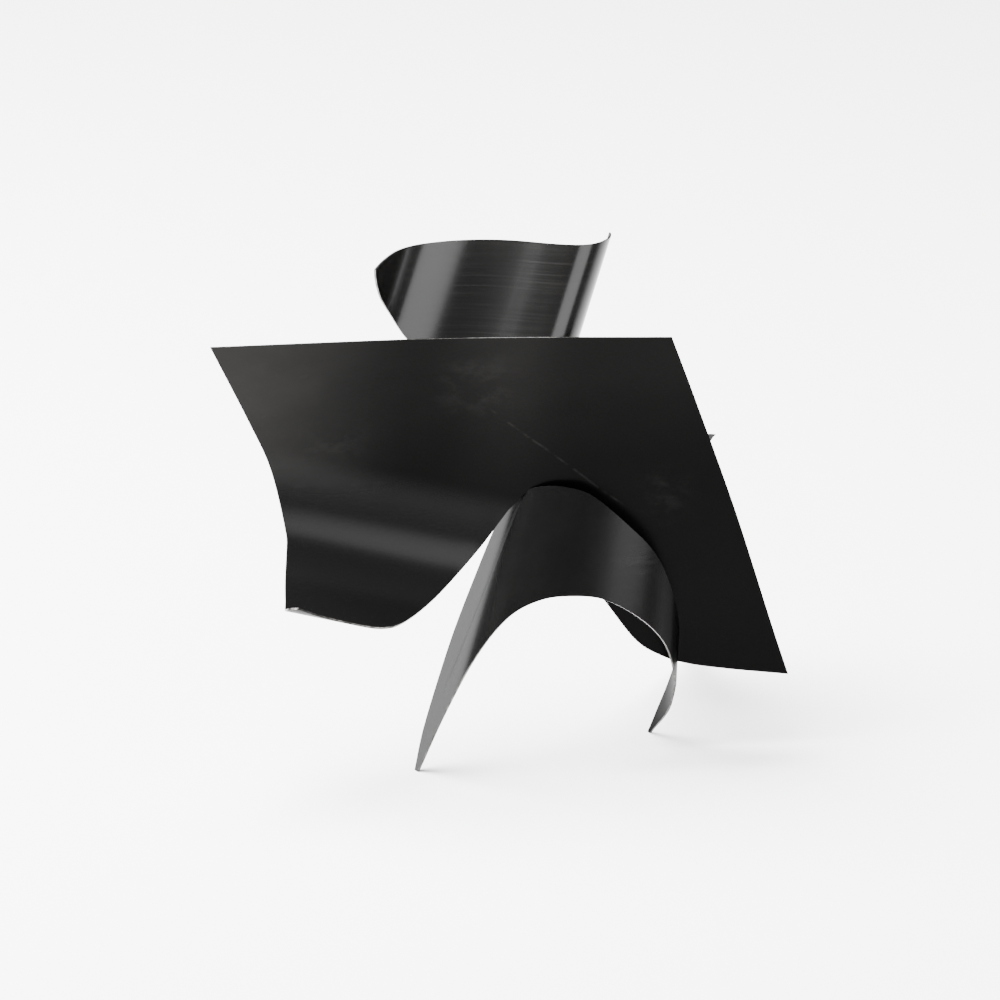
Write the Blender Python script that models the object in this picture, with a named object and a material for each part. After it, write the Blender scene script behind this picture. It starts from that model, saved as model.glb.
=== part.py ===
"""Abstract sculpture of three rolled sheets of blackened steel, welded together.

The front plate is cut flat and its lower left lobe is rolled forwards. The arch band is
rolled into a deep U in plan, on rulings that lean towards a common point above it, and the
rear sheet is rolled on parallel leaning rulings. Both are cut to curved upper and lower edges.

Metres, +Z up. The origin is on the floor under the middle of the sculpture, and -Y is its front.
"""

import math

import bmesh
import bpy
from mathutils import Vector

MM = 0.001

# Sheet
SHEET_THICKNESS = 1.6 * MM
WELD_GAP = 0.3 * MM
STATION_TURN = math.radians(5.0)
EDGE_STEPS = 5
SCORE_SNAP = 0.15 * MM
STATION_ROOM = 0.7 * MM

# Where the left foot's tip stands, from the origin. All other places are measured from it
LEFT_FOOT_AT = (-66.6 * MM, -101.4 * MM)

# The sculpture leans back by this much of its height, and loses this much height by it
LEAN_BACK = 0.12
LEAN_DROP = 0.039

# Front plate, measured on the flat sheet from its top left corner: along the top, then down
PLATE_PASS_FLAT = (248.6 * MM, 145.2 * MM)
PLATE_PASS_AT = (80.8 * MM, 8.0 * MM, 224.5 * MM)
LOBE_HINGE = (253.0 * MM, 136.3 * MM)
PLATE_YAW = 0.120
PLATE_LEAN = 0.145
LOBE_RULING_TILT = math.radians(15.0)
LOBE_BENDS = ((50.0 * MM, 14.0), (121.0 * MM, 97.0), (26.0 * MM, 36.0))
PLATE_TOP = ((0.0, 0.0), (191.0, -0.2), (369.5, 5.8))
PLATE_RIGHT = ((369.5, 5.8), (389.5, 62.0), (423.4, 161.3), (454.3, 262.4), (469.0, 309.0))
PLATE_FOOT = (
    (469.0, 309.0), (419.0, 302.0), (386.6, 295.8), (366.0, 288.0), (345.0, 273.0), (318.7, 236.0),
)
NOTCH_TOP = ((264.0, 139.8), (261.0, 133.5), (254.0, 134.5), (250.0, 140.5))
PLATE_NOTCH = ((241.4, 152.5), (216.0, 185.0), (183.0, 216.5), (148.0, 244.0), (127.7, 259.0))
PLATE_LOBE = ((127.7, 259.0), (106.0, 269.0), (83.0, 271.5), (60.0, 271.5), (33.5, 274.5))
PLATE_LEFT = (
    (33.5, 274.5), (30.0, 262.0), (46.0, 224.0), (58.5, 179.0), (59.5, 155.0), (49.5, 109.0), (31.6, 66.8),
    (0.0, 0.0),
)

# Arch band: plan curve on the floor from behind the left foot, and heights of its cut edges
BAND_HEADING = -61.0
BAND_LEAD = 45.0 * MM
BAND_BENDS = (
    (71.6 * MM, 0.0), (30.5 * MM, 47.0), (123.0 * MM, 29.1), (83.0 * MM, 78.9), (79.0 * MM, 18.1),
)
BAND_APEX = (248.0 * MM, 120.0 * MM, 822.4 * MM)
BAND_UPPER = (
    (42.5, 0.0), (37.0, 30.0), (36.0, 70.0), (37.5, 110.0), (44.0, 152.0), (54.0, 195.0), (68.0, 221.0),
    (84.5, 231.0), (106.0, 237.0), (132.0, 237.4), (164.0, 231.0), (208.0, 207.0), (244.0, 179.7),
    (278.7, 135.0), (305.0, 99.0), (321.0, 76.5), (347.7, 49.6), (367.5, 27.3), (380.0, 10.0), (387.1, 0.0),
)
BAND_LOWER = (
    (383.1, 0.0), (371.0, 9.7), (350.2, 24.2), (332.4, 37.7), (310.0, 60.0), (291.6, 73.8), (262.6, 108.2),
    (230.0, 133.0), (194.2, 148.8), (162.0, 152.2), (131.6, 148.5), (104.6, 133.6), (82.2, 100.3),
    (60.6, 48.0), (47.5, 0.0),
)

# Rear sheet: plan curve at the height of its top edge, and heights of its cut edges
REAR_START = (-33.0 * MM, -27.3 * MM)
REAR_HEADING = 78.5
REAR_BENDS = (
    (47.8 * MM, -12.1), (39.8 * MM, -43.2), (68.1 * MM, -34.6), (48.0 * MM, 0.9), (53.0 * MM, 112.0),
    (30.0 * MM, -46.0), (440.0 * MM, 8.5),
)
REAR_TOP_HEIGHT = 427.7 * MM
REAR_LEAN = (0.3341, 0.36)
REAR_TOP = ((1.0, 427.7), (130.0, 427.7), (257.5, 427.7))
REAR_BACK_CUT = (
    (257.5, 427.7), (262.0, 340.0), (285.0, 310.0), (350.0, 288.0), (430.0, 268.0), (500.0, 236.0),
    (550.0, 206.0), (587.0, 194.5),
)
REAR_END_CUT = (
    (587.0, 194.5), (580.0, 190.0), (571.0, 168.0), (568.0, 130.0), (588.0, 84.0), (638.0, 38.0),
    (701.0, 0.0),
)
REAR_FOOT_CUT = (
    (696.5, 0.0), (640.0, 22.0), (560.0, 60.0), (470.0, 108.0), (380.0, 158.0), (300.0, 205.0),
    (268.0, 232.0),
)
REAR_LEFT_CUT = (
    (200.0, 303.0), (180.0, 306.0), (155.0, 315.4), (124.8, 334.0), (95.5, 354.8), (68.3, 379.8),
    (40.0, 401.0), (1.0, 427.7),
)

STEEL = (0.012, 0.012, 0.012, 1.0)
STEEL_ROUGHNESS = 0.32


def clear_scene():
    for obj in list(bpy.data.objects):
        bpy.data.objects.remove(obj, do_unlink=True)


def steel_material(name):
    material = bpy.data.materials.new(name)
    material.use_nodes = True
    shader = material.node_tree.nodes["Principled BSDF"]
    shader.inputs["Base Color"].default_value = STEEL
    shader.inputs["Roughness"].default_value = STEEL_ROUGHNESS
    shader.inputs["Metallic"].default_value = 0.0
    return material


class Roll:
    """A plan curve made of arcs, each given as (length, turn in degrees)."""

    def __init__(self, start, heading, bends):
        self.arcs = []
        x, y = start
        angle = math.radians(heading)
        at = 0.0
        for length, turn in bends:
            curvature = math.radians(turn) / length
            self.arcs.append((at, x, y, angle, curvature, length))
            x, y = self.along(x, y, angle, curvature, length)
            angle += math.radians(turn)
            at += length
        self.length = at

    @staticmethod
    def along(x, y, angle, curvature, distance):
        if abs(curvature) < 1e-6:
            return x + math.cos(angle) * distance, y + math.sin(angle) * distance
        end = angle + curvature * distance
        radius = 1.0 / curvature
        return (
            x + radius * (math.sin(end) - math.sin(angle)),
            y - radius * (math.cos(end) - math.cos(angle)),
        )

    def at(self, distance):
        """The point and the heading at a distance along the curve."""
        arc = self.arcs[0]
        for candidate in self.arcs:
            if candidate[0] <= distance:
                arc = candidate
        at, x, y, angle, curvature, _ = arc
        px, py = self.along(x, y, angle, curvature, distance - at)
        return px, py, angle + curvature * (distance - at)

    def stations(self, most_turn):
        """Distances between which the curve turns by no more than most_turn."""
        found = []
        for at, _, _, _, curvature, length in self.arcs:
            steps = max(1, math.ceil(abs(curvature) * length / most_turn))
            found += [at + length * i / steps for i in range(steps + 1)]
        return sorted(set(round(s, 7) for s in found))


def smooth_curve(knots, scale=MM, steps=EDGE_STEPS, clear_of=()):
    """A curve through the knots, without its last point and with no other point too near a station."""
    points = [Vector(knot) * scale for knot in knots]
    ends = [points[0] * 2 - points[1]] + points + [points[-1] * 2 - points[-2]]
    curve = []
    for a, b, c, d in zip(ends, ends[1:], ends[2:], ends[3:]):
        for i in range(steps):
            t = i / steps
            bow = (2 * a - 5 * b + 4 * c - d) * t**2 + (3 * b - a - 3 * c + d) * t**3
            point = 0.5 * (2 * b + (c - a) * t + bow)
            if (b == points[0] and i == 0) or all(abs(point.x - s) > STATION_ROOM for s in clear_of):
                curve.append(point)
    return curve


def leaned(point):
    return Vector((point.x, point.y + LEAN_BACK * point.z, point.z * (1.0 - LEAN_DROP)))


def leaned_normal(normal):
    return Vector((normal.x, normal.y, (normal.z - LEAN_BACK * normal.y) / (1.0 - LEAN_DROP))).normalized()


def cut_sheet(name, outline, cuts, place, material):
    """Cuts the outline from flat sheet, scores it along the cuts and rolls it with place(u, v).

    Feet, which are cut at height nought, are ground flat on the floor.
    """
    mesh = bpy.data.meshes.new(name)
    bm = bmesh.new()
    back = [bm.verts.new((u, v, -SHEET_THICKNESS / 2)) for u, v in outline]
    face = bm.faces.new(back)
    raised = bmesh.ops.extrude_face_region(bm, geom=[face])
    tops = [item for item in raised["geom"] if isinstance(item, bmesh.types.BMVert)]
    bmesh.ops.translate(bm, verts=tops, vec=(0.0, 0.0, SHEET_THICKNESS))
    for point, normal in cuts:
        geometry = bm.verts[:] + bm.edges[:] + bm.faces[:]
        bmesh.ops.bisect_plane(bm, geom=geometry, plane_co=point, plane_no=normal, dist=SCORE_SNAP)
    bmesh.ops.remove_doubles(bm, verts=bm.verts[:], dist=SCORE_SNAP)
    bmesh.ops.triangulate(bm, faces=bm.faces[:], quad_method="BEAUTY", ngon_method="BEAUTY")
    for vertex in bm.verts:
        point, normal = place(vertex.co.x, vertex.co.y)
        on_floor = abs(point.z) < 1e-7
        vertex.co = leaned(point) + leaned_normal(normal) * vertex.co.z
        if on_floor:
            vertex.co.z = 0.0
    if bm.calc_volume(signed=True) < 0.0:
        bmesh.ops.reverse_faces(bm, faces=bm.faces[:])
    bm.to_mesh(mesh)
    bm.free()
    obj = bpy.data.objects.new(name, mesh)
    obj.location = (LEFT_FOOT_AT[0], LEFT_FOOT_AT[1], 0.0)
    mesh.materials.append(material)
    mesh.shade_smooth()
    mesh.set_sharp_from_angle(angle=math.radians(30.0))
    bpy.context.scene.collection.objects.link(obj)
    return obj


def ruled_place(roll, lean_at):
    """A point of a sheet whose rulings climb from the roll's plan curve, as lean_at says."""

    def place(s, height):
        x, y, heading = roll.at(s)
        point, up = lean_at(Vector((x, y)), height)
        across = Vector((math.cos(heading), math.sin(heading), 0.0))
        return point, across.cross(up).normalized()

    return place


def station_cuts(roll):
    return [((s, 0.0, 0.0), (1.0, 0.0, 0.0)) for s in roll.stations(STATION_TURN)[1:-1]]


def band_lean(base, height):
    apex = Vector(BAND_APEX)
    share = height / apex.z
    point = base.lerp(apex.xy, share)
    up = (apex - base.to_3d()) / apex.z
    return Vector((point.x, point.y, height)), up


def rear_lean(base, height):
    above = height - REAR_TOP_HEIGHT
    up = Vector((REAR_LEAN[0], REAR_LEAN[1], 1.0))
    return base.to_3d() + up * above + Vector((0.0, 0.0, REAR_TOP_HEIGHT)), up


def band_roll():
    heading = math.radians(BAND_HEADING)
    start = (-BAND_LEAD * math.cos(heading), -BAND_LEAD * math.sin(heading))
    return Roll(start, BAND_HEADING, BAND_BENDS)


def plate_frame():
    """The plate's axes, and the place of its top left corner."""
    along = Vector((1.0, PLATE_YAW, 0.0)).normalized()
    front = Vector((PLATE_YAW, -1.0, -PLATE_LEAN)).normalized()
    down = front.cross(along).normalized()
    if down.z > 0:
        down = -down
    corner = Vector(PLATE_PASS_AT) - along * PLATE_PASS_FLAT[0] - down * PLATE_PASS_FLAT[1]
    return corner, along, down, front


def plate_place():
    corner, along, down, front = plate_frame()
    ruling = along * math.cos(LOBE_RULING_TILT) + down * math.sin(LOBE_RULING_TILT)
    across = down * math.cos(LOBE_RULING_TILT) - along * math.sin(LOBE_RULING_TILT)
    roll = Roll((0.0, 0.0), 0.0, LOBE_BENDS)
    start = lobe_start()

    def place(x, y):
        rolled = y * math.cos(LOBE_RULING_TILT) - x * math.sin(LOBE_RULING_TILT) - start
        if rolled <= 0.0 or x > LOBE_HINGE[0]:
            return corner + along * x + down * y, front
        a = x * math.cos(LOBE_RULING_TILT) + y * math.sin(LOBE_RULING_TILT)
        forward, lift, angle = roll.at(rolled)
        surface = corner + ruling * a + across * (start + forward) + front * lift
        return surface, front * math.cos(angle) - across * math.sin(angle)

    return place


def lobe_start():
    """Distance across the rulings at which the lobe's roll begins, which is at its hinge point."""
    x, y = LOBE_HINGE
    return y * math.cos(LOBE_RULING_TILT) - x * math.sin(LOBE_RULING_TILT)


def make_front_plate():
    outline = []
    for knots in (PLATE_TOP, PLATE_RIGHT, PLATE_FOOT):
        outline += smooth_curve(knots)
    outline.append(Vector(PLATE_FOOT[-1]) * MM)
    outline += [Vector(corner) * MM for corner in NOTCH_TOP]
    for knots in (PLATE_NOTCH, PLATE_LOBE, PLATE_LEFT):
        outline += smooth_curve(knots)
    across = (-math.sin(LOBE_RULING_TILT), math.cos(LOBE_RULING_TILT), 0.0)
    roll = Roll((0.0, 0.0), 0.0, LOBE_BENDS)
    cuts = [(Vector(across) * (lobe_start() + s), across) for s in roll.stations(STATION_TURN)]
    return cut_sheet("front_plate", outline, cuts, plate_place(), steel_material("plate_steel"))


def make_arch_band():
    roll = band_roll()
    stations = roll.stations(STATION_TURN)
    outline = smooth_curve(BAND_UPPER, clear_of=stations) + [Vector(BAND_UPPER[-1]) * MM]
    outline += smooth_curve(BAND_LOWER, clear_of=stations) + [Vector(BAND_LOWER[-1]) * MM]
    place = ruled_place(roll, band_lean)
    return cut_sheet("arch_band", outline, station_cuts(roll), place, steel_material("band_steel"))


def scribed_height(roll, s):
    """Height at which the rear sheet's ruling meets the back of the front plate."""
    corner, _, _, front = plate_frame()
    x, y, _ = roll.at(s)
    base, up = rear_lean(Vector((x, y)), REAR_TOP_HEIGHT)
    facing = leaned_normal(front)
    reach = SHEET_THICKNESS / 2 + WELD_GAP + SHEET_THICKNESS / 2
    distance = leaned(base - corner).dot(facing) + reach
    return REAR_TOP_HEIGHT - distance / leaned(up).dot(facing)


def make_rear_sheet():
    roll = Roll(REAR_START, REAR_HEADING, REAR_BENDS)
    stations = roll.stations(STATION_TURN)
    outline = []
    for knots in (REAR_TOP, REAR_BACK_CUT, REAR_END_CUT):
        outline += smooth_curve(knots, clear_of=stations)
    outline.append(Vector(REAR_END_CUT[-1]) * MM)
    outline += smooth_curve(REAR_FOOT_CUT, clear_of=stations)
    weld_from, weld_to = REAR_FOOT_CUT[-1][0] * MM, REAR_LEFT_CUT[0][0] * MM
    for i in range(1, 12):
        s = weld_from + (weld_to - weld_from) * i / 12
        outline.append(Vector((s, scribed_height(roll, s))))
    outline += smooth_curve(REAR_LEFT_CUT, clear_of=stations)
    place = ruled_place(roll, rear_lean)
    return cut_sheet("rear_sheet", outline, station_cuts(roll), place, steel_material("rear_steel"))


clear_scene()
make_front_plate()
make_arch_band()
make_rear_sheet()
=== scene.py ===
import bisect
import math

import bpy
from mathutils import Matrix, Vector


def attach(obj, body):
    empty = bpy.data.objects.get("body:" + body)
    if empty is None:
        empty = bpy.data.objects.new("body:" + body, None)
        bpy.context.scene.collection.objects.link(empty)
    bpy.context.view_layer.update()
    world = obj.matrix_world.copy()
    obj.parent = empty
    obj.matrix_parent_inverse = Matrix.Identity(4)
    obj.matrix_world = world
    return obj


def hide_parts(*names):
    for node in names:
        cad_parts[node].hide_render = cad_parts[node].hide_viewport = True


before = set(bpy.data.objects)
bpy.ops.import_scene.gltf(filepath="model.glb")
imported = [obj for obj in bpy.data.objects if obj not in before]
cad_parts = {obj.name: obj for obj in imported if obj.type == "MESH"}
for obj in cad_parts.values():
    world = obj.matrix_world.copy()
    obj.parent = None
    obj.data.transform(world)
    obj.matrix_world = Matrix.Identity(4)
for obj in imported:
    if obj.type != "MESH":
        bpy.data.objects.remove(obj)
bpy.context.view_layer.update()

mm = 0.001
sheetThickness = 1.6 * mm
edgeRound = 0.22 * mm
rulingTurn = math.radians(1.5)
crossSpacing = 16 * mm
edgeSteps = 14
leftFootAt = Vector((-66.6, -101.4, 0)) * mm
leanBack = 0.12  # the whole work leans back by this share of its height
leanDrop = 0.039  # and loses this share of it
groundReach = 0.7 * mm  # what is lower than this is ground flat
planSpan = 500  # mm of flat sheet in one unit of its map
weldSteps = 60


# the rolled curves, seen from above

class Roll:  # arcs of (length, turn in degrees), eased into each other
    step = 0.5 * mm

    def __init__(self, start, heading, bends, easing):
        ends, turns, at = [], [], 0.0
        for length, turn in bends:
            at += length * mm
            ends.append(at)
            turns.append(math.radians(turn) / (length * mm))
        self.length = at
        count = int(round(at / self.step)) + 1
        raw = [turns[min(bisect.bisect_left(ends, i * self.step), len(turns) - 1)] for i in range(count)]
        reach = max(1, int(easing * mm / self.step / 2))
        weights = [1 + math.cos(math.pi * k / (reach + 1)) for k in range(-reach, reach + 1)]
        self.curvature = []
        for i in range(count):
            near = [raw[min(max(i + k, 0), count - 1)] for k in range(-reach, reach + 1)]
            self.curvature.append(sum(w * c for w, c in zip(weights, near)) / sum(weights))
        self.points, self.headings = [Vector(start) * mm], [math.radians(heading)]
        for a, b in zip(self.curvature, self.curvature[1:]):
            turned = self.headings[-1] + (a + b) / 2 * self.step
            middle = (self.headings[-1] + turned) / 2
            self.points.append(self.points[-1] + Vector((math.cos(middle), math.sin(middle))) * self.step)
            self.headings.append(turned)

    def at(self, distance):
        place = min(max(distance / self.step, 0.0), len(self.points) - 1.001)
        i, share = int(place), place - int(place)
        heading = self.headings[i] * (1 - share) + self.headings[i + 1] * share
        return self.points[i].lerp(self.points[i + 1], share), heading

    def stations(self):  # distances at which the curve has turned by one more rulingTurn
        found, turned, last = [0.0], 0.0, 0.0
        for i, curvature in enumerate(self.curvature):
            turned += abs(curvature) * self.step
            if turned >= rulingTurn or i * self.step - last >= crossSpacing:
                last = i * self.step
                found.append(last)
                turned = 0.0
        return found


def smoothCurve(knots, steps=edgeSteps):  # through the knots, without the last
    points = [Vector(knot) * mm for knot in knots]
    ends = [points[0] * 2 - points[1]] + points + [points[-1] * 2 - points[-2]]
    curve = []
    for a, b, c, d in zip(ends, ends[1:], ends[2:], ends[3:]):
        for i in range(steps):
            t = i / steps
            bow = (2 * a - 5 * b + 4 * c - d) * t**2 + (3 * b - a - 3 * c + d) * t**3
            curve.append(0.5 * (2 * b + (c - a) * t + bow))
    return curve


# sheet work

def cutBlank(name, outline):
    bpy.ops.object.select_all(action="DESELECT")
    bpy.ops.mesh.primitive_circle_add(vertices=len(outline), radius=0.2, fill_type="NGON")
    blank = bpy.context.object
    blank.name = blank.data.name = name
    for vertex, point in zip(blank.data.vertices, outline):
        vertex.co = (point.x, point.y, 0.0)
    return blank


def scoreBlank(blank, lines):  # straight cuts through the flat blank, along and across its rulings
    bpy.ops.object.mode_set(mode="EDIT")
    for point, across in lines:
        bpy.ops.mesh.select_all(action="SELECT")
        bpy.ops.mesh.bisect(plane_co=point, plane_no=across, threshold=0.02 * mm)
    bpy.ops.mesh.select_all(action="SELECT")
    bpy.ops.mesh.remove_doubles(threshold=0.03 * mm)
    bpy.ops.mesh.quads_convert_to_tris(quad_method="BEAUTY", ngon_method="BEAUTY")
    bpy.ops.mesh.tris_convert_to_quads(face_threshold=math.radians(1), shape_threshold=math.radians(60))
    bpy.ops.object.mode_set(mode="OBJECT")


def keepFlatPlan(blank):  # the flat sheet's own millimetres, which the finish reads
    layer = blank.data.uv_layers[0]
    layer.name = "flat"
    for loop in blank.data.loops:
        layer.data[loop.index].uv = blank.data.vertices[loop.vertex_index].co.xy / (planSpan * mm)


def leaned(point):
    return Vector((point.x, point.y + leanBack * point.z, point.z * (1 - leanDrop)))


def rollBlank(blank, place):
    for vertex in blank.data.vertices:
        vertex.co = leaned(place(vertex.co.x, vertex.co.y)) + leftFootAt


def applyModifier(piece, kind, **settings):
    modifier = piece.modifiers.new(kind.title(), kind)
    for key, value in settings.items():
        setattr(modifier, key, value)
    bpy.ops.object.modifier_apply(modifier=modifier.name)


def thicken(piece):
    bpy.context.view_layer.objects.active = piece
    applyModifier(piece, "SOLIDIFY", thickness=sheetThickness, offset=0.0, use_even_offset=True,
                  use_quality_normals=True, material_offset=1, material_offset_rim=2)
    for vertex in piece.data.vertices:
        if vertex.co.z < groundReach:
            vertex.co.z = 0.0
    applyModifier(piece, "BEVEL", width=edgeRound, segments=2, limit_method="ANGLE",
                  angle_limit=math.radians(50), use_clamp_overlap=True)
    bpy.ops.object.mode_set(mode="EDIT")
    bpy.ops.mesh.select_all(action="SELECT")
    bpy.ops.mesh.normals_make_consistent(inside=False)
    bpy.ops.object.mode_set(mode="OBJECT")
    piece.select_set(True)
    bpy.ops.object.shade_smooth_by_angle(angle=math.radians(40))
    applyModifier(piece, "WEIGHTED_NORMAL", mode="FACE_AREA", weight=50, keep_sharp=True)


def turnToFront(piece):  # the seen side of each sheet faces the front near its flat start
    piece.data.update()
    layer = piece.data.uv_layers["flat"]
    nearStart = [face for face in piece.data.polygons if layer.data[face.loop_start].uv.x < 0.5]
    if sum(face.normal.y * face.area for face in nearStart) > 0:
        bpy.ops.object.mode_set(mode="EDIT")
        bpy.ops.mesh.select_all(action="SELECT")
        bpy.ops.mesh.flip_normals()
        bpy.ops.object.mode_set(mode="OBJECT")


def makeSheet(name, outline, lines, place, finishes):
    piece = cutBlank(name, outline)
    scoreBlank(piece, lines)
    keepFlatPlan(piece)
    rollBlank(piece, place)
    turnToFront(piece)
    for finish in finishes:
        piece.data.materials.append(finish)
    thicken(piece)
    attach(piece, "root")
    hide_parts(name)
    print("made", name, "with", len(piece.data.polygons), "faces")
    return piece


def crossLines(low, high):
    count = int((high - low) / crossSpacing)
    return [((0, low + (high - low) * (i + 0.5) / count, 0), (0, 1, 0)) for i in range(count)]


# finishes: numbers and links in one expression

class Level:
    def __init__(self, finish, socket):
        self.finish, self.socket = finish, socket

    def join(self, operation, first, second):
        return self.finish.node("ShaderNodeMath", {"operation": operation}, {0: first, 1: second})

    def __add__(self, other):
        return self.join("ADD", self, other)

    def __sub__(self, other):
        return self.join("SUBTRACT", self, other)

    def __mul__(self, other):
        return self.join("MULTIPLY", self, other)


class Finish:
    def __init__(self, name, **settings):
        self.material = bpy.data.materials.new(name)
        self.material.use_nodes = True
        self.tree = self.material.node_tree
        self.shader = self.tree.nodes["Principled BSDF"]
        for socket, value in settings.items():
            self.shader.inputs[socket].default_value = value

    def node(self, kind, settings=None, sockets=None, output=0):
        made = self.tree.nodes.new(kind)
        for key, value in (settings or {}).items():
            setattr(made, key, value)
        for key, value in (sockets or {}).items():
            if isinstance(value, Level):
                self.tree.links.new(value.socket, made.inputs[key])
            else:
                made.inputs[key].default_value = value
        return Level(self, made.outputs[output])

    def feed(self, socket, level):
        self.tree.links.new(level.socket, self.shader.inputs[socket])

    def cover(self, share, other):  # the other shader laid over this share of the surface
        under = Level(self, self.shader.outputs[0])
        mixed = self.node("ShaderNodeMixShader", None, {0: share, 1: under, 2: other})
        self.tree.links.new(mixed.socket, self.tree.nodes["Material Output"].inputs["Surface"])

    def flatPlan(self):  # millimetres on the flat sheet
        plan = self.node("ShaderNodeUVMap", {"uv_map": "flat"})
        apart = self.node("ShaderNodeSeparateXYZ", None, {0: plan})
        across, down = apart.socket.node.outputs[0], apart.socket.node.outputs[1]
        return Level(self, across) * planSpan, Level(self, down) * planSpan

    def noise(self, scale, detail, rough=0.5):  # features per metre
        place = self.node("ShaderNodeTexCoord", None, None, 3)
        return self.node("ShaderNodeTexNoise", None,
                         {"Vector": place, "Scale": scale, "Detail": detail, "Roughness": rough})

    def planNoise(self, across, down, scaleAcross, scaleDown, detail=3.0, rough=0.5):  # features per mm
        spot = self.node("ShaderNodeCombineXYZ", None, {0: across * scaleAcross, 1: down * scaleDown})
        return self.node("ShaderNodeTexNoise", None,
                         {"Vector": spot, "Scale": 1.0, "Detail": detail, "Roughness": rough})

    def limit(self, level, low, high, outLow=0.0, outHigh=1.0):  # low to high, as outLow to outHigh
        return self.node("ShaderNodeMapRange", {"interpolation_type": "SMOOTHSTEP"},
                         {0: level, 1: low, 2: high, 3: outLow, 4: outHigh})

    def hill(self, distance, width):  # 1 at no distance, falling smoothly to 0
        size = self.node("ShaderNodeMath", {"operation": "ABSOLUTE"}, {0: distance})
        return self.limit(size, 0.0, width, 1.0, 0.0)

    def tinted(self, level, warmth):  # a slightly warm grey
        return self.node("ShaderNodeCombineColor", None,
                         {0: level * (1 + warmth), 1: level, 2: level * (1 - warmth)})


# the front plate: one flat sheet whose lower left lobe is rolled forwards

plateValues = {
    "passFlat": (248.6, 145.2),
    "passAt": (80.8, 8.0, 224.5),
    "hinge": (253.0, 136.3),
    "yaw": 0.120,
    "lean": 0.145,
    "rulingTilt": 15,
    "bends": ((50, 14), (121, 97), (26, 36)),
    "easing": 26,
    "uprightCuts": (20, 465, 16),
    "levelCuts": (14, 136, 16),
    "top": ((0, 0), (191, -0.2), (369.5, 5.8)),
    "right": ((369.5, 5.8), (389.5, 62), (423.4, 161.3), (454.3, 262.4), (469, 309)),
    "foot": ((469, 309), (419, 302), (386.6, 295.8), (366, 288), (345, 273), (318.7, 236)),
    "notchTop": ((262, 141.5), (259, 138), (254, 139), (251, 143)),
    "notch": ((241.4, 152.5), (216, 185), (183, 216.5), (148, 244), (127.7, 259)),
    "lobe": ((127.7, 259), (106, 269), (83, 271.5), (60, 271.5), (33.5, 274.5)),
    "left": (
        (33.5, 274.5), (30, 262), (46, 224), (58.5, 179), (59.5, 155), (49.5, 109), (31.6, 66.8), (0, 0),
    ),
}


def plateOutline(values):
    outline = []
    for edge in ("top", "right", "foot"):
        outline += smoothCurve(values[edge])
    outline.append(Vector(values["foot"][-1]) * mm)
    outline += [Vector(corner) * mm for corner in values["notchTop"]]
    for edge in ("notch", "lobe", "left"):
        outline += smoothCurve(values[edge])
    return outline


def plateRolling(values):
    tilt = math.radians(values["rulingTilt"])
    along = Vector((1, values["yaw"], 0)).normalized()
    front = Vector((values["yaw"], -1, -values["lean"])).normalized()
    down = front.cross(along).normalized()
    down = -down if down.z > 0 else down
    passFlat = Vector(values["passFlat"]) * mm
    corner = Vector(values["passAt"]) * mm - along * passFlat.x - down * passFlat.y
    ruling = along * math.cos(tilt) + down * math.sin(tilt)
    across = down * math.cos(tilt) - along * math.sin(tilt)
    hinge = Vector(values["hinge"]) * mm
    start = hinge.y * math.cos(tilt) - hinge.x * math.sin(tilt)
    roll = Roll((0, 0), 0, values["bends"], values["easing"])

    def place(x, y):
        rolled = y * math.cos(tilt) - x * math.sin(tilt) - start
        if rolled <= 0 or x > hinge.x:
            return corner + along * x + down * y
        (forward, lift), heading = roll.at(rolled)
        ahead = max(0.0, rolled - roll.length)
        forward, lift = forward + math.cos(heading) * ahead, lift + math.sin(heading) * ahead
        sideways = x * math.cos(tilt) + y * math.sin(tilt)
        return corner + ruling * sideways + across * (start + forward) + front * lift

    normal = Vector((-math.sin(tilt), math.cos(tilt), 0))
    lines = [(normal * (start + s), normal) for s in roll.stations()]
    lines += [((x * mm, 0, 0), (1, 0, 0)) for x in range(*values["uprightCuts"])]
    lines += [((0, y * mm, 0), (0, 1, 0)) for y in range(*values["levelCuts"])]
    return place, lines


# the arch band: a tapering roll, deep in plan, whose rulings lean to one point

bandValues = {
    "heading": -61,
    "lead": 45,
    "bends": ((71.6, 0), (30.5, 47), (123, 29.1), (83, 78.9), (79, 18.1)),
    "easing": 34,
    "apex": (248, 120, 822.4),
    "cutHeight": 238,
    "upper": (
        (42.5, 0), (37, 30), (36, 70), (37.5, 110), (44, 152), (54, 195), (68, 221), (84.5, 231),
        (106, 237), (132, 237.4), (164, 231), (208, 207), (244, 179.7), (278.7, 135), (305, 99),
        (321, 76.5), (347.7, 49.6), (367.5, 27.3), (380, 10), (387.1, 0),
    ),
    "lower": (
        (383.1, 0), (371, 9.7), (350.2, 24.2), (332.4, 37.7), (310, 60), (291.6, 73.8), (262.6, 108.2),
        (230, 133), (194.2, 148.8), (162, 152.2), (131.6, 148.5), (104.6, 133.6), (82.2, 100.3),
        (60.6, 48), (47.5, 0),
    ),
}


def bandOutline(values):
    outline = smoothCurve(values["upper"]) + [Vector(values["upper"][-1]) * mm]
    return outline + smoothCurve(values["lower"]) + [Vector(values["lower"][-1]) * mm]


def bandRolling(values):
    heading = math.radians(values["heading"])
    start = (-values["lead"] * math.cos(heading), -values["lead"] * math.sin(heading))
    roll = Roll(start, values["heading"], values["bends"], values["easing"])
    apex = Vector(values["apex"]) * mm

    def place(s, height):
        base, _ = roll.at(s)
        point = base.lerp(apex.xy, height / apex.z)
        return Vector((point.x, point.y, height))

    lines = [((s, 0, 0), (1, 0, 0)) for s in roll.stations()[1:]]
    return place, lines + crossLines(0.0, values["cutHeight"] * mm)


# the rear sheet: a leaning J roll that runs back into a third leg

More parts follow.
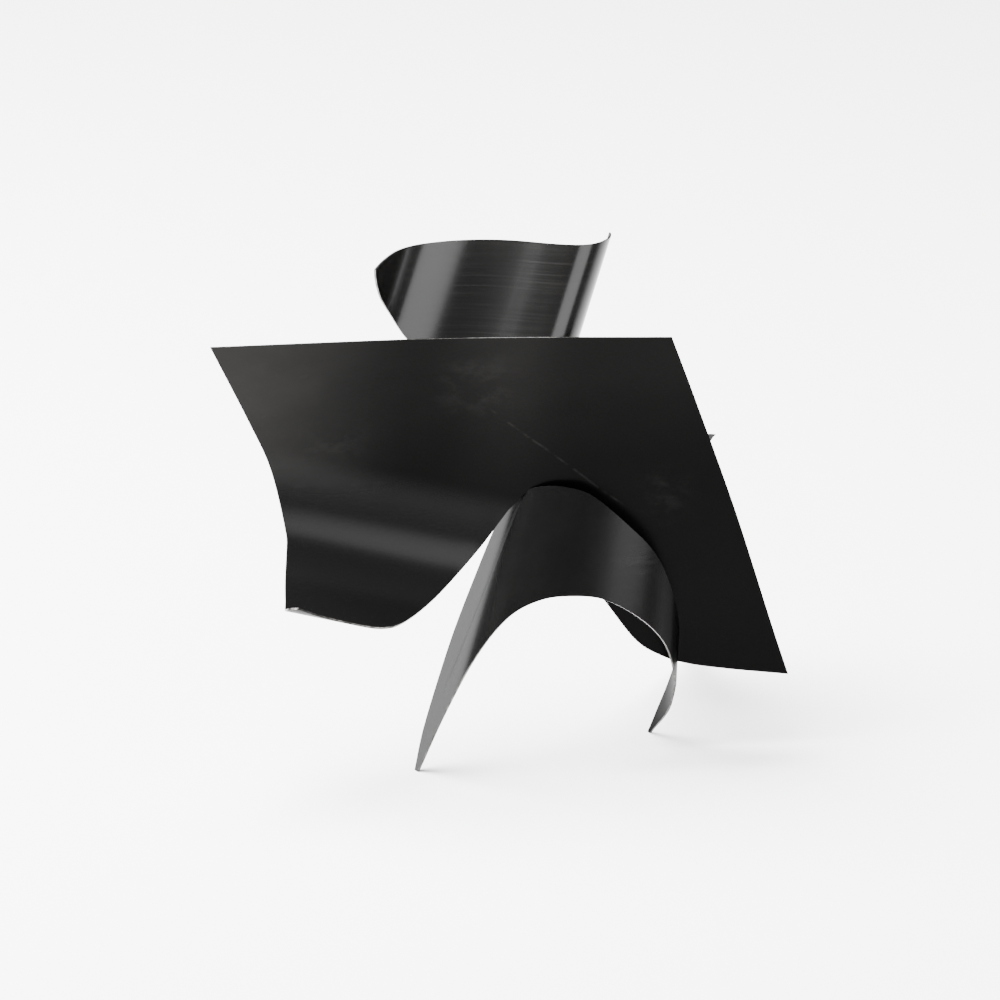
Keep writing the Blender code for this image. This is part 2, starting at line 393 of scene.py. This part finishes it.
rearValues = {
    "start": (-33, -27.3),
    "heading": 78.5,
    "bends": (
        (47.8, -12.1), (39.8, -43.2), (68.1, -34.6), (20, -8), (20, 8.9), (8, 0), (53, 112), (30, -46),
        (440, 8.5),
    ),
    "easing": 22,
    "topHeight": 427.7,
    "cutHeight": 430,
    "lean": (0.3341, 0.36),
    "top": ((1, 427.7), (130, 427.7), (257.5, 427.7)),
    "backCut": (
        (257.5, 427.7), (262, 340), (285, 310), (350, 288), (430, 268), (500, 236), (550, 206),
        (587, 194.5),
    ),
    "endCut": ((587, 194.5), (580, 190), (571, 168), (568, 130), (588, 84), (638, 38), (701, 0)),
    "footCut": ((696.5, 0), (640, 22), (560, 60), (470, 108), (380, 158), (300, 205), (268, 232)),
    "leftCut": (
        (200, 303), (180, 306), (155, 315.4), (124.8, 334), (95.5, 354.8), (68.3, 379.8), (40, 401),
        (1, 427.7),
    ),
    "weldGap": 0.3,
}


def rearOutline(values, scribed):
    outline = []
    for edge in ("top", "backCut", "endCut"):
        outline += smoothCurve(values[edge])
    outline.append(Vector(values["endCut"][-1]) * mm)
    outline += smoothCurve(values["footCut"])
    weldFrom, weldTo = values["footCut"][-1][0] * mm, values["leftCut"][0][0] * mm
    for i in range(weldSteps):
        s = weldFrom + (weldTo - weldFrom) * i / weldSteps
        outline.append(Vector((s, scribed(s))))
    return outline + smoothCurve(values["leftCut"])


def rearRolling(values):
    roll = Roll(values["start"], values["heading"], values["bends"], values["easing"])
    up = Vector((values["lean"][0], values["lean"][1], 1))
    top = values["topHeight"] * mm

    def place(s, height):
        base, _ = roll.at(s)
        return base.to_3d() + up * (height - top) + Vector((0, 0, top))

    def scribed(s):  # where this ruling meets the back of the front plate
        facing = Vector((plateValues["yaw"], -1, -plateValues["lean"])).normalized()
        reach = sheetThickness + values["weldGap"] * mm
        distance = (place(s, top) - Vector(plateValues["passAt"]) * mm).dot(facing) + reach
        return top - distance / up.dot(facing)

    lines = [((s, 0, 0), (1, 0, 0)) for s in roll.stations()[1:]]
    return place, lines + crossLines(0.0, values["cutHeight"] * mm), scribed


# black satin finish

steelValues = {"roughness": 0.24, "scuff": 0.035, "warmth": 0.035, "edgeTone": 0.14}


def steel(name, glint):
    finish = Finish(name, Metallic=0.0, Roughness=steelValues["roughness"])
    finish.shader.inputs["Specular IOR Level"].default_value = glint
    return finish


def overcoat(finish, tone, glint, roughness):  # a second shader, for where the black shines less or more
    return finish.node("ShaderNodeBsdfPrincipled", None, {
        "Base Color": (tone, tone, tone, 1.0), "Roughness": roughness, "Specular IOR Level": glint})


def ripple(finish, level, depth):  # depth in mm
    bump = finish.node("ShaderNodeBump", None, {"Height": level, "Distance": depth * mm, "Strength": 1.0})
    finish.feed("Normal", bump)


def edgeFinish():
    finish = Finish("bareEdge", Metallic=1.0, Roughness=0.34)
    wear = finish.limit(finish.noise(160, 4.0, 0.6), 0.35, 0.7, 0.04, steelValues["edgeTone"])
    finish.feed("Base Color", finish.tinted(wear, steelValues["warmth"]))
    ripple(finish, finish.noise(900, 2.0), 0.05)
    return finish.material


backValues = {"roughness": 0.34, "low": 0.0012, "high": 0.003}


def backFinish(name, glint):  # the sides that the photo hides, plainer
    finish = steel(name, glint)
    x, y = finish.flatPlan()
    cloud = finish.planNoise(x, y, 0.02, 0.03, 4.0)
    tone = finish.limit(cloud, 0.3, 0.7, backValues["low"], backValues["high"])
    finish.feed("Base Color", finish.tinted(tone, steelValues["warmth"]))
    rubbed = finish.limit(finish.planNoise(x, y, 0.05, 0.05, 5.0), 0.35, 0.7, 0.0, steelValues["scuff"])
    finish.feed("Roughness", rubbed + backValues["roughness"])
    ripple(finish, finish.planNoise(x, y, 0.02, 0.02, 2.0), 0.1)
    return finish.material


plateMarks = {  # tones of the black, of the thin haze over it and of painted sheen, places in flat mm; the left, top and ridge tones are partly haze and partly a painted reflection of the pale floor
    "glint": 0.02, "black": 0.0008,
    "leftHazeAndSheen": 0.0120, "leftFrom": 5, "leftTo": 165,
    "topHazeAndSheen": 0.0026, "topTo": 125,
    "ridgeHazeAndSheen": 0.0032, "ridgeAt": 238, "ridgeWidth": 62, "ridgeTo": 190,
    "lobeTone": 0.0024, "lobeFrom": 72, "lobeTo": 128, "lobeGlint": 0.18,
    "lobeSlope": 0.27, "lobeFullTo": 250, "lobeGoneAt": 300,
    "smears": ((214, 42, 46, 40, 0.005), (366, 146, 30, 34, 0.004), (95, 90, 44, 30, 0.003)),
    "scratch": ((220.6, 60.3), (335.8, 155.0)), "scratchWidth": 1.4, "scratchTone": 0.005,
    "scratchSway": 5.0, "scratchFade": 12.0,
    "specksAt": (107, 146, 26), "speckTone": 0.04,
}


# painted sheen: the plate's tone is lighter towards the left, the top and along a ridge, partly haze and
# partly a painted reflection of the pale floor
def plateToneAndSheen(finish, x, y, marks):
    left = finish.limit(x, marks["leftFrom"], marks["leftTo"], marks["leftHazeAndSheen"], 0.0)
    top = finish.limit(y, 0.0, marks["topTo"], marks["topHazeAndSheen"], 0.0)
    ridge = finish.hill(x - marks["ridgeAt"], marks["ridgeWidth"])
    ridge = ridge * finish.limit(y, 0.0, marks["ridgeTo"], marks["ridgeHazeAndSheen"], 0.0)
    return left + top + ridge + marks["black"]


def plateSmears(finish, x, y, marks):  # wiped patches
    wiped = finish.limit(finish.planNoise(x, y, 0.045, 0.06, 6.0, 0.66), 0.42, 0.72)
    patches = [
        finish.hill(x - atX, reachX) * finish.hill(y - atY, reachY) * wiped * tone
        for atX, atY, reachX, reachY, tone in marks["smears"]
    ]
    return patches[0] + patches[1] + patches[2]


def plateScratch(finish, x, y, marks):
    (fromX, fromY), (toX, toY) = marks["scratch"]
    length = math.hypot(toX - fromX, toY - fromY)
    alongX, alongY = (toX - fromX) / length, (toY - fromY) / length
    sway, fade = marks["scratchSway"], marks["scratchFade"]
    away = (x - fromX) * -alongY + (y - fromY) * alongX
    away = away + finish.planNoise(x, y, 0.012, 0.012) * sway - sway / 2
    along = (x - fromX) * alongX + (y - fromY) * alongY
    kept = finish.limit(along, 0.0, fade) * finish.limit(along, length - fade, length, 1.0, 0.0)
    broken = finish.limit(finish.planNoise(x, y, 0.09, 0.09), 0.4, 0.6)
    return finish.hill(away, marks["scratchWidth"]) * kept * broken


def plateFinish():
    marks = plateMarks
    finish = steel("plateSteel", marks["glint"])
    x, y = finish.flatPlan()
    onLobe = finish.limit(y - x * marks["lobeSlope"], marks["lobeFrom"], marks["lobeTo"])
    onLobe = onLobe * finish.limit(x, marks["lobeFullTo"], marks["lobeGoneAt"], 1.0, 0.0)
    smears = plateSmears(finish, x, y, marks)
    scratch = plateScratch(finish, x, y, marks)
    atX, atY, reach = marks["specksAt"]
    specks = finish.hill(x - atX, reach) * finish.hill(y - atY, reach * 0.5)
    specks = specks * finish.limit(finish.planNoise(x, y, 0.55, 0.55, 1.0), 0.74, 0.78)
    # the painted sheen and the black from the tone map, plus the smears and the scratch
    toneAndSheen = plateToneAndSheen(finish, x, y, marks) + smears + scratch * marks["scratchTone"]
    cloud = finish.limit(finish.planNoise(x, y, 0.014, 0.02, 4.0), 0.3, 0.7, 0.9, 1.1)
    tone = toneAndSheen * cloud + specks * marks["speckTone"]
    finish.feed("Base Color", finish.tinted(tone, steelValues["warmth"]))
    rubbed = finish.limit(finish.planNoise(x, y, 0.03, 0.05, 5.0), 0.4, 0.7, 0.0, steelValues["scuff"])
    finish.feed("Roughness", rubbed + smears * 8.0 + steelValues["roughness"])
    ripple(finish, finish.planNoise(x, y, 0.02, 0.02, 2.0) - scratch * 0.1, 0.12)
    finish.cover(onLobe, overcoat(finish, marks["lobeTone"], marks["lobeGlint"], steelValues["roughness"]))
    return finish.material


bandMarks = {
    "glint": 0.25, "black": 0.0004,
    "legGlint": 0.015, "legTone": 0.0012, "legRoughness": 0.3, "legFrom": 225, "legTo": 270,
    # shoulder tone: painted sheen, lighter just past the left leg and fading across the front
    "shoulderSheen": 0.0015, "shoulderStart": 67, "shoulderFrom": 92, "shoulderTo": 165,
    "smudge": (222, 178, 34, 26, 0.003),
    "streakFrom": (84, 222), "streakTo": (57, 92), "streakWidth": 2.6, "streakFade": 40,
}


def bandFinish():
    marks = bandMarks
    finish = steel("bandSteel", marks["glint"])
    x, y = finish.flatPlan()
    # painted sheen: the front's tone rises just past the left leg and then fades to the right, standing in
    # for the bright side that the bend turns to
    shoulderSheen = finish.limit(x, marks["shoulderFrom"], marks["shoulderTo"], marks["shoulderSheen"], 0.0)
    shoulderSheen = shoulderSheen * finish.limit(x, marks["shoulderStart"], marks["shoulderFrom"])
    cloud = finish.limit(finish.planNoise(x, y, 0.02, 0.03, 4.0), 0.3, 0.7, 0.8, 1.25)
    atX, atY, reachX, reachY, tone = marks["smudge"]
    smudge = finish.hill(x - atX, reachX) * finish.hill(y - atY, reachY)
    smudge = smudge * finish.limit(finish.planNoise(x, y, 0.03, 0.12, 5.0, 0.6), 0.4, 0.65) * tone
    onLeg = finish.limit(x, marks["legFrom"], marks["legTo"])
    # the painted sheen added to the black, with the real smudge on top
    toneAndSheen = (shoulderSheen + marks["black"]) * cloud + smudge
    finish.feed("Base Color", finish.tinted(toneAndSheen, steelValues["warmth"]))
    (highX, highY), (lowX, lowY) = marks["streakFrom"], marks["streakTo"]
    middle = (y - lowY) * ((highX - lowX) / (highY - lowY)) + lowX
    streak = finish.hill(x - middle, marks["streakWidth"]) * finish.limit(y, lowY - marks["streakFade"], lowY)
    brushed = finish.planNoise(x, y, 0.12, 0.03, 3.0)
    brushed = finish.limit(brushed, 0.3, 0.7, 0.0, steelValues["scuff"] * 0.5)
    finish.feed("Roughness", brushed + smudge * 16.0 + streak * 0.12 + steelValues["roughness"])
    ripple(finish, finish.planNoise(x, y, 0.02, 0.015, 2.0) - streak * 0.2, 0.1)
    finish.cover(onLeg, overcoat(finish, marks["legTone"], marks["legGlint"], marks["legRoughness"]))
    return finish.material


rearMarks = {
    "glint": 0.5, "low": 0.001, "high": 0.003, "warmth": 0.05,
    "wingFrom": 235, "wingTo": 290, "wingTone": 0.0015, "wingGlint": 0.03, "wingRoughness": 0.34,
    "brushAlong": 0.006, "brushAcross": 0.8, "brushDepth": 0.004, "brushTone": 0.004,
}


def rearFinish():
    marks = rearMarks
    finish = steel("rearSteel", marks["glint"])
    x, y = finish.flatPlan()
    tone = finish.limit(finish.planNoise(x, y, 0.012, 0.02, 4.0), 0.3, 0.7, marks["low"], marks["high"])
    brush = finish.planNoise(x, y, marks["brushAlong"], marks["brushAcross"], 4.0, 0.6)
    tone = tone + finish.limit(brush, 0.5, 0.75, 0.0, marks["brushTone"])
    finish.feed("Base Color", finish.tinted(tone, marks["warmth"]))
    rubbed = finish.limit(brush, 0.35, 0.7, 0.0, steelValues["scuff"])
    finish.feed("Roughness", rubbed + steelValues["roughness"] * 0.75)
    ripple(finish, brush, marks["brushDepth"])
    onWing = finish.limit(x, marks["wingFrom"], marks["wingTo"])
    finish.cover(onWing, overcoat(finish, marks["wingTone"], marks["wingGlint"], marks["wingRoughness"]))
    return finish.material


bareEdge = edgeFinish()
platePlace, plateLines = plateRolling(plateValues)
plate = makeSheet("front_plate", plateOutline(plateValues), plateLines, platePlace,
                  [plateFinish(), backFinish("plateBack", 0.03), bareEdge])
bandPlace, bandLines = bandRolling(bandValues)
band = makeSheet("arch_band", bandOutline(bandValues), bandLines, bandPlace,
                 [bandFinish(), backFinish("bandBack", 0.005), bareEdge])
rearPlace, rearLines, scribed = rearRolling(rearValues)
rear = makeSheet("rear_sheet", rearOutline(rearValues, scribed), rearLines, rearPlace,
                 [rearFinish(), backFinish("rearBack", 0.03), bareEdge])


# studio

studioValues = {
    "floorTone": 0.9,
    "floorSize": 24,
    "worldTone": 0.42,
    "middle": (0, 0, 0.2),
    "lights": (  # name, turn from the front and height in degrees, distance, size, brightness
        ("overhead", -105, 66, 3.0, (3.2, 3.2), 38),
        ("frontRightBox", 36, 25, 2.2, (1.4, 1.1), 4.5),
        ("leftBackBox", -118, 6, 2.5, (1.1, 0.75), 6.2),
        ("frontLeftStrip", -55, 46, 2.6, (0.4, 0.7), 24.0),
    ),
}


def makeStudio(values):
    bpy.ops.object.select_all(action="DESELECT")
    bpy.ops.mesh.primitive_plane_add(size=values["floorSize"], location=(0, 2, 0))
    floor = bpy.context.object
    floor.name = "studioFloor"
    finish = Finish("palePaper", Roughness=0.85, Metallic=0.0)
    finish.shader.inputs["Specular IOR Level"].default_value = 0.1
    grain = finish.limit(finish.noise(2.0, 2.0), 0.3, 0.7, values["floorTone"] * 0.995, values["floorTone"])
    finish.feed("Base Color", finish.tinted(grain, 0.0))
    floor.data.materials.append(finish.material)
    world = bpy.data.worlds.new("studioAir")
    world.use_nodes = True
    world.node_tree.nodes["Background"].inputs["Color"].default_value = (values["worldTone"],) * 3 + (1,)
    bpy.context.scene.world = world
    middle = Vector(values["middle"])
    for name, turn, height, distance, size, brightness in values["lights"]:
        turn, height = math.radians(turn), math.radians(height)
        level = Vector((math.sin(turn), -math.cos(turn), 0))
        away = level * math.cos(height) + Vector((0, 0, math.sin(height)))
        lamp = bpy.data.lights.new(name, "AREA")
        lamp.shape = "RECTANGLE"
        lamp.size, lamp.size_y = size
        lamp.energy = brightness * math.pi * size[0] * size[1]
        holder = bpy.data.objects.new(name, lamp)
        holder.location = middle + away * distance
        holder.rotation_euler = (-away).to_track_quat("-Z", "Y").to_euler()
        bpy.context.scene.collection.objects.link(holder)


cameraValues = {"elevation": 18.0, "lens": 800, "frameWidth": 0.8, "aim": (66.4, 110, 191.4)}


def makeCamera(values):
    aim = Vector(values["aim"]) * mm + leftFootAt
    rise = math.radians(values["elevation"])
    back = Vector((0, -math.cos(rise), math.sin(rise)))
    data = bpy.data.cameras.new("photoCamera")
    data.lens = values["lens"]
    distance = values["frameWidth"] * values["lens"] / data.sensor_width
    camera = bpy.data.objects.new("photoCamera", data)
    camera.location = aim + back * distance
    camera.rotation_euler = (-back).to_track_quat("-Z", "Y").to_euler()
    data.clip_start, data.clip_end = 0.5, 100
    bpy.context.scene.collection.objects.link(camera)
    bpy.context.scene.camera = camera


makeStudio(studioValues)
makeCamera(cameraValues)
print("studio and camera ready")
